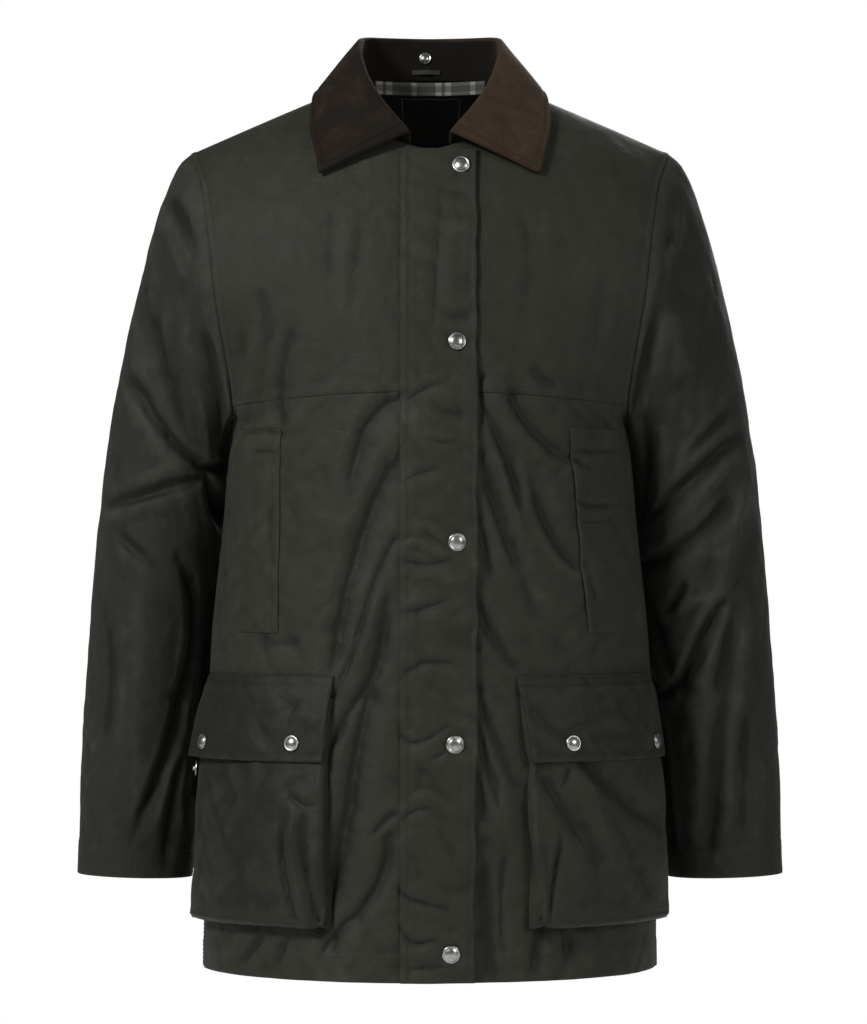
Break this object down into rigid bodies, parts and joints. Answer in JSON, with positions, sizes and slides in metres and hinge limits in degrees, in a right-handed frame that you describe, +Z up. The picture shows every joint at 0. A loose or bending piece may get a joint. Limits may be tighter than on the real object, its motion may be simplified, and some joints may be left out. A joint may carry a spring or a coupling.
{
  "type": "jacket",
  "caption": "Hip-length waxed cotton jacket with a corduroy collar, snapped storm flap, slanted hand pockets and flapped bellows pockets, filled out as if worn.",
  "frame": {"origin": "in the middle of the neck, level with the inner ends of the shoulder seams, where the wearer's neck and shoulders hold the jacket up", "axes": "+Z up, +X to the wearer's left, -Y out of the front"},
  "size_m": [0.604, 0.3096, 0.7942],
  "materials": {
    "waxed_cotton": "waxed olive cotton with a low sheen",
    "waxed_cotton_sleeve": "waxed olive cotton, a shade darker",
    "brown_corduroy": "matt needlecord with a soft nap",
    "dark_corduroy": "matt needlecord in shade",
    "check_lining": "matt woven check",
    "label_cloth": "plain woven tape",
    "steel": "domed caps, lightly brushed"
  },
  "bodies": {
    "root": {"right_front": "waxed_cotton", "left_front": "waxed_cotton", "right_front_yoke": "waxed_cotton", "left_front_yoke": "waxed_cotton", "back": "waxed_cotton", "storm_flap": "waxed_cotton", "right_pocket_bag": "waxed_cotton", "left_pocket_bag": "waxed_cotton", "right_pocket_flap": "waxed_cotton", "left_pocket_flap": "waxed_cotton", "right_hand_pocket_welt": "waxed_cotton", "left_hand_pocket_welt": "waxed_cotton", "right_sleeve": "waxed_cotton_sleeve", "left_sleeve": "waxed_cotton_sleeve", "hanger_loop": "waxed_cotton_sleeve", "collar_fall": "brown_corduroy", "collar_stand": "dark_corduroy", "back_neck_lining": "check_lining", "label_patch": "label_cloth", "front_snap_1": "steel", "front_snap_2": "steel", "front_snap_3": "steel", "front_snap_4": "steel", "front_snap_5": "steel", "right_pocket_inner_snap": "steel", "right_pocket_outer_snap": "steel", "left_pocket_inner_snap": "steel", "left_pocket_outer_snap": "steel", "right_pocket_stud": "steel", "hood_snap": "steel"}
  },
  "joints": []
}
